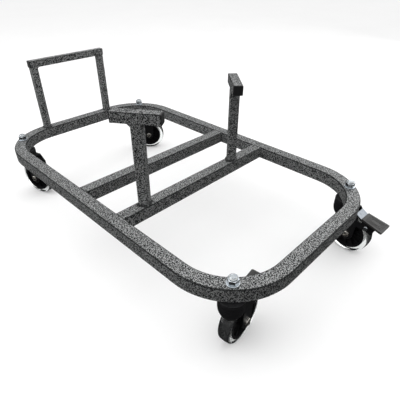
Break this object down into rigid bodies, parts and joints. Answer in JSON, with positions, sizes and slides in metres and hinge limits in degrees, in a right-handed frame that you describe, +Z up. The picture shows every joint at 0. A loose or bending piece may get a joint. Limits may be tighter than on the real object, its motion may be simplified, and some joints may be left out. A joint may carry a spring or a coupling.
{
  "type": "paddock stand",
  "caption": "Low rolling stand: a rounded ring of square tube on swivel casters, with two crossmembers, two tee posts and an upright frame; foot brakes at the front.",
  "frame": {"origin": "on the floor, under the middle of the overall box", "axes": "+Z up, +Y along the ring towards the upright frame at the rear, +X to the right seen from the front"},
  "size_m": [0.5188, 0.9222, 0.359],
  "materials": {
    "hammer_paint": "hammered silver-vein powder coat over charcoal",
    "fork_black": "satin black coating",
    "wheel_core": "glossy black moulded plastic",
    "clear_tyre": "clear moulded polyurethane",
    "pedal_plastic": "dark grey moulded plastic",
    "cap_plastic": "black moulded plastic",
    "bushing_nylon": "natural nylon",
    "ball_steel": "polished bearing steel",
    "zinc_hardware": "bright zinc plating"
  },
  "bodies": {
    "frame": {"ring_front_half": "hammer_paint", "ring_rear_half": "hammer_paint", "front_crossmember": "hammer_paint", "rear_crossmember": "hammer_paint", "crossmember_welds": "hammer_paint", "rear_post_left": "hammer_paint", "rear_post_right": "hammer_paint", "rear_top_bar": "hammer_paint", "rear_frame_welds": "hammer_paint", "rear_bar_caps": "cap_plastic", "left_tee_post": "hammer_paint", "left_tee_bar": "hammer_paint", "right_tee_post": "hammer_paint", "right_tee_bar": "hammer_paint", "tee_welds": "hammer_paint", "tee_bar_caps": "cap_plastic", "caster_stems": "zinc_hardware", "stem_washers": "zinc_hardware", "stem_nuts": "zinc_hardware"},
    "front_left_swivel": {"front_left_fork": "fork_black", "front_left_swivel_housing": "fork_black", "front_left_swivel_balls": "ball_steel", "front_left_axle_bolt": "zinc_hardware", "front_left_axle_nut": "zinc_hardware", "front_left_brake_pin": "zinc_hardware"},
    "front_left_wheel": {"front_left_wheel_core": "wheel_core", "front_left_tyre": "clear_tyre", "front_left_hub_bushing": "bushing_nylon"},
    "front_left_brake": {"front_left_brake_arm": "fork_black", "front_left_brake_lever": "zinc_hardware", "front_left_brake_pad": "pedal_plastic"},
    "front_right_swivel": {"front_right_fork": "fork_black", "front_right_swivel_housing": "fork_black", "front_right_swivel_balls": "ball_steel", "front_right_axle_bolt": "zinc_hardware", "front_right_axle_nut": "zinc_hardware", "front_right_brake_pin": "zinc_hardware"},
    "front_right_wheel": {"front_right_wheel_core": "wheel_core", "front_right_tyre": "clear_tyre", "front_right_hub_bushing": "bushing_nylon"},
    "front_right_brake": {"front_right_brake_arm": "fork_black", "front_right_brake_lever": "zinc_hardware", "front_right_brake_pad": "pedal_plastic"},
    "rear_left_swivel": {"rear_left_fork": "fork_black", "rear_left_swivel_housing": "fork_black", "rear_left_swivel_balls": "ball_steel", "rear_left_axle_bolt": "zinc_hardware", "rear_left_axle_nut": "zinc_hardware"},
    "rear_left_wheel": {"rear_left_wheel_core": "wheel_core", "rear_left_tyre": "clear_tyre", "rear_left_hub_bushing": "bushing_nylon"},
    "rear_right_swivel": {"rear_right_fork": "fork_black", "rear_right_swivel_housing": "fork_black", "rear_right_swivel_balls": "ball_steel", "rear_right_axle_bolt": "zinc_hardware", "rear_right_axle_nut": "zinc_hardware"},
    "rear_right_wheel": {"rear_right_wheel_core": "wheel_core", "rear_right_tyre": "clear_tyre", "rear_right_hub_bushing": "bushing_nylon"}
  },
  "joints": [
    {"name": "front_left_swivel_turn", "type": "hinge", "parent": "frame", "child": "front_left_swivel", "pos_m": [-0.20955, -0.35834, 0.128], "axis": [0, 0, 1], "continuous": true},
    {"name": "front_left_wheel_spin", "type": "hinge", "parent": "front_left_swivel", "child": "front_left_wheel", "pos_m": [-0.1817, -0.35541, 0.05], "axis": [-0.1045, 0.9945, 0], "continuous": true},
    {"name": "front_left_brake_press", "type": "hinge", "parent": "front_left_swivel", "child": "front_left_brake", "pos_m": [-0.14343, -0.35139, 0.08703], "axis": [-0.1045, 0.9945, 0], "range_deg": [0, 8]},
    {"name": "front_right_swivel_turn", "type": "hinge", "parent": "frame", "child": "front_right_swivel", "pos_m": [0.1967, -0.35834, 0.128], "axis": [0, 0, 1], "continuous": true},
    {"name": "front_right_wheel_spin", "type": "hinge", "parent": "front_right_swivel", "child": "front_right_wheel", "pos_m": [0.19523, -0.3863, 0.05], "axis": [0.9986, -0.0523, 0], "continuous": true},
    {"name": "front_right_brake_press", "type": "hinge", "parent": "front_right_swivel", "child": "front_right_brake", "pos_m": [0.19322, -0.42472, 0.08703], "axis": [0.9986, -0.0523, 0], "range_deg": [-8, 0]},
    {"name": "rear_left_swivel_turn", "type": "hinge", "parent": "frame", "child": "rear_left_swivel", "pos_m": [-0.20955, 0.4065, 0.128], "axis": [0, 0, 1], "continuous": true},
    {"name": "rear_left_wheel_spin", "type": "hinge", "parent": "rear_left_swivel", "child": "rear_left_wheel", "pos_m": [-0.20089, 0.37987, 0.05], "axis": [0.9511, 0.309, 0], "continuous": true},
    {"name": "rear_right_swivel_turn", "type": "hinge", "parent": "frame", "child": "rear_right_swivel", "pos_m": [0.1967, 0.4065, 0.128], "axis": [0, 0, 1], "continuous": true},
    {"name": "rear_right_wheel_spin", "type": "hinge", "parent": "rear_right_swivel", "child": "rear_right_wheel", "pos_m": [0.21684, 0.38705, 0.05], "axis": [0.6947, 0.7193, 0], "continuous": true}
  ]
}
